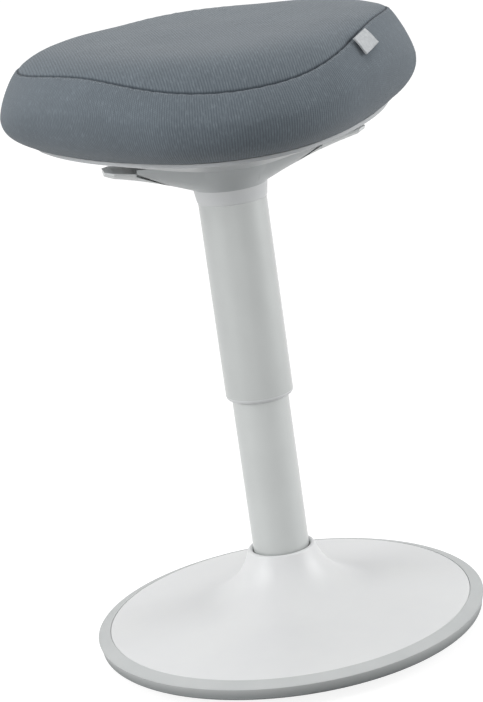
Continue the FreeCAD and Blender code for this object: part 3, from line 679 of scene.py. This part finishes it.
placed = add_node(
    group,
    "GeometryNodeInstanceOnPoints",
    {
        "Points": spaced.outputs["Curve"],
        "Instance": long_bead.outputs["Geometry"],
        "Rotation": turned.outputs["Rotation"],
        "Scale": vary.outputs[1],
    },
)
real = add_node(group, "GeometryNodeRealizeInstances", {"Geometry": placed.outputs["Instances"]})
rounded = add_node(group, "GeometryNodeSetShadeSmooth", {"Geometry": real.outputs["Geometry"]})
coloured = add_node(
    group, "GeometryNodeSetMaterial", {"Geometry": rounded.outputs["Geometry"], "Material": thread}
)
given_back = group.nodes.new("NodeGroupOutput")
group.links.new(coloured.outputs["Geometry"], given_back.inputs[0])

cushion_skin = BVHTree.FromPolygons(
    [vertex.co for vertex in cushion_mesh.vertices],
    [tuple(polygon.vertices) for polygon in cushion_mesh.polygons],
)
path = []
for index in range(around):
    column = from_seam[:, index]
    spot = [np.interp(-stitch_drop, column, form[:, index, axis]) for axis in range(3)]
    near, normal, _, _ = cushion_skin.find_nearest(Vector(spot))
    path.append(near + normal * thread_radius * stitch_raise)
line_mesh = bpy.data.meshes.new("stitch_line")
line_mesh.from_pydata(path, [(i, (i + 1) % around) for i in range(around)], [])
stitch_line = new_object("stitch_line", line_mesh)
maker = stitch_line.modifiers.new("Stitches", "NODES")
maker.node_group = group
wanted = {
    "Pitch": stitch_pitch,
    "Length": stitch_length,
    "Thread radius": thread_radius,
    "Seed": stitch_seed,
}
for item in group.interface.items_tree:
    if item.name in wanted:
        maker[item.identifier] = wanted[item.name]
depsgraph = bpy.context.evaluated_depsgraph_get()
stitch_mesh = bpy.data.meshes.new_from_object(stitch_line.evaluated_get(depsgraph))
bpy.data.objects.remove(stitch_line)
stitches = new_object("seam_stitches", stitch_mesh)
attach(stitches, "seat")


# Sewn tag
# A bare strip of pale grey woven tape, folded once and caught in the seam by its ends. It lies
# on the side band at the right front and stands a little off it at its fold.

tag_corners = [
    Vector((0.1115, -0.0905, 0.5350)),
    Vector((0.1230, -0.0631, 0.5374)),
    Vector((0.1206, -0.1007, 0.5242)),
    Vector((0.1334, -0.0688, 0.5273)),
]
tape_width = 0.030
tape_length = 0.034
tag_thickness = 0.00035
tag_fold_radius = 0.0005
tag_clearance = 0.0004
tag_stand = 0.0005
tag_curl = 0.0005
tag_reach = 0.02
tag_smoothing = 3
tag_columns = 24
tag_rows = 14
fold_steps = 5

tag_across = (tag_corners[1] - tag_corners[0]).normalized()
tag_down = (tag_corners[2] - tag_corners[0]).normalized()
tag_out = tag_down.cross(tag_across).normalized()


def tag_spot(down, across):
    """A place on the tag's flat patch, by its shares of the length and the width."""
    high = tag_corners[0].lerp(tag_corners[1], across)
    low = tag_corners[2].lerp(tag_corners[3], across)
    return high.lerp(low, down)


lift = []
for row in range(tag_rows + 1):
    over = []
    for column in range(tag_columns + 1):
        spot = tag_spot(row / tag_rows, column / tag_columns)
        hit = cushion_skin.ray_cast(spot + tag_out * tag_reach, -tag_out)[0]
        over.append((hit - spot).dot(tag_out))
    lift.append(max(over) + tag_clearance)
for _ in range(tag_smoothing):
    neighbours = zip([lift[0]] + lift, lift, lift[1:] + [lift[-1]])
    lift = [max(here, (before + after) / 2) for before, here, after in neighbours]

tag_rings = [
    (row / tag_rows, lift[row] + 2 * tag_fold_radius, 0.0) for row in range(tag_rows + 1)
]
for step in range(1, fold_steps):
    turn = math.pi * step / fold_steps
    drop = tag_fold_radius * math.sin(turn)
    tag_rings.append((1.0, lift[-1] + tag_fold_radius * (1 + math.cos(turn)), drop))
tag_rings += [(row / tag_rows, lift[row], 0.0) for row in range(tag_rows, -1, -1)]
points = []
for down, stand, drop in tag_rings:
    for column in range(tag_columns + 1):
        across = column / tag_columns
        curl = tag_curl * down * down * math.cos(2 * math.pi * across)
        away = tag_out * (stand + tag_stand + curl) + tag_down * drop
        points.append(tag_spot(down, across) + away)
faces = []
for row in range(len(tag_rings) - 1):
    for column in range(tag_columns):
        a = row * (tag_columns + 1) + column
        faces.append((a, a + tag_columns + 1, a + tag_columns + 2, a + 1))
tag_mesh = bpy.data.meshes.new("sewn_tag")
tag_mesh.from_pydata(points, [], faces)
tag_map = tag_mesh.uv_layers.new(name="tape")
for polygon in tag_mesh.polygons:
    polygon.use_smooth = True
    for loop in polygon.loop_indices:
        row, column = divmod(tag_mesh.loops[loop].vertex_index, tag_columns + 1)
        tag_map.data[loop].uv = (
            column / tag_columns * tape_width,
            row / len(tag_rings) * tape_length,
        )

tape, tree, shader, place = new_surface("woven_tape", Roughness=0.7, Sheen_Weight=0.15)
lay = add_node(tree, "ShaderNodeUVMap", uv_map="tape").outputs["UV"]
spot = add_node(tree, "ShaderNodeSeparateXYZ", {"Vector": lay})
warp = reckon(tree, "SINE", reckon(tree, "MULTIPLY", spot.outputs["X"], 9000.0))
weft = reckon(tree, "SINE", reckon(tree, "MULTIPLY", spot.outputs["Y"], 11000.0))
crossed = reckon(tree, "MULTIPLY", warp, weft)
woven = reckon(tree, "MULTIPLY_ADD", crossed, 0.25, speckle(tree, place, 300.0, 3.0))
colour = two_tones(
    tree, spread(tree, woven, 0.2, 0.8), tone(168, 172, 175), tone(196, 199, 201)
)
dress(tree, shader, colour, crossed, 0.00008, 0.7)
tag_mesh.materials.append(tape)
tag = new_object("sewn_tag", tag_mesh)
wall = tag.modifiers.new("Thickness", "SOLIDIFY")
wall.thickness = tag_thickness
wall.offset = 0.0
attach(tag, "seat")
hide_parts("fabric_tag")


# Studio: floor, light and camera
# A plain pale floor under soft light from above and the front left, seen from a little above
# with the camera rolled, so that the stool leans to the left as in the photograph.

floor_radius = 5.0
floor_sides = 96
floor_glow = 0.86
studio_glow = 0.38
lamp_aim = Vector((0, 0, 0.3))
camera_place = (-0.0107, -2.1183, 0.8607)
camera_drop = 15.66
camera_roll = 8.12
focal_length = 129.21

floor_mesh = bpy.data.meshes.new("floor")
turns = [2 * math.pi * index / floor_sides for index in range(floor_sides)]
edge = [(floor_radius * math.cos(turn), floor_radius * math.sin(turn), 0.0) for turn in turns]
floor_mesh.from_pydata(edge, [], [tuple(range(floor_sides))])
pale, tree, shader, place = new_surface("pale_floor", Roughness=0.8)
dust = two_tones(tree, speckle(tree, place, 3.0), tone(142, 142, 142), tone(146, 146, 146))
tree.links.new(dust, shader.inputs["Base Color"])


def seen_directly(tree):
    """1 for rays that show the background, in the camera, in a gloss or through glass."""
    rays = add_node(tree, "ShaderNodeLightPath").outputs
    first = reckon(tree, "MAXIMUM", rays["Is Camera Ray"], rays["Is Glossy Ray"])
    return reckon(tree, "MAXIMUM", first, rays["Is Transmission Ray"])


glow = reckon(tree, "MULTIPLY", seen_directly(tree), floor_glow)
shader.inputs["Emission Color"].default_value = (1, 1, 1, 1)
tree.links.new(glow, shader.inputs["Emission Strength"])
floor_mesh.materials.append(pale)
floor = new_object("floor", floor_mesh)

world = bpy.data.worlds.new("studio")
bpy.context.scene.world = world
world.use_nodes = True
tree = world.node_tree
tree.nodes.clear()
level = spread(tree, seen_directly(tree), 0.0, 1.0, studio_glow, 1.0)
sky = add_node(tree, "ShaderNodeBackground", {"Color": (1, 1, 1, 1), "Strength": level})
add_node(tree, "ShaderNodeOutputWorld", {"Surface": sky.outputs["Background"]})

for name, spot, size, power in (
    ("softbox_left", (-2.0, -0.9, 1.3), 1.5, 33.0),
    ("softbox_top", (-0.3, 0.4, 2.6), 2.0, 19.0),
    ("softbox_right", (2.0, 0.0, 0.9), 1.2, 25.0),
    ("softbox_front", (-0.2, -2.7, 1.1), 1.6, 12.0),
):
    lamp_data = bpy.data.lights.new(name, "AREA")
    lamp_data.shape = "SQUARE"
    lamp_data.size = size
    lamp_data.energy = power
    lamp = new_object(name, lamp_data)
    facing = (lamp_aim - Vector(spot)).to_track_quat("-Z", "Y")
    lamp.matrix_world = Matrix.Translation(spot) @ facing.to_matrix().to_4x4()

camera_data = bpy.data.cameras.new("camera")
camera_data.sensor_width = 36.0
camera_data.lens = focal_length
camera = new_object("camera", camera_data)
camera.matrix_world = (
    Matrix.Translation(camera_place)
    @ Matrix.Rotation(math.radians(90 - camera_drop), 4, "X")
    @ Matrix.Rotation(math.radians(-camera_roll), 4, "Z")
)
bpy.context.scene.camera = camera
bpy.context.scene.view_settings.view_transform = "Standard"
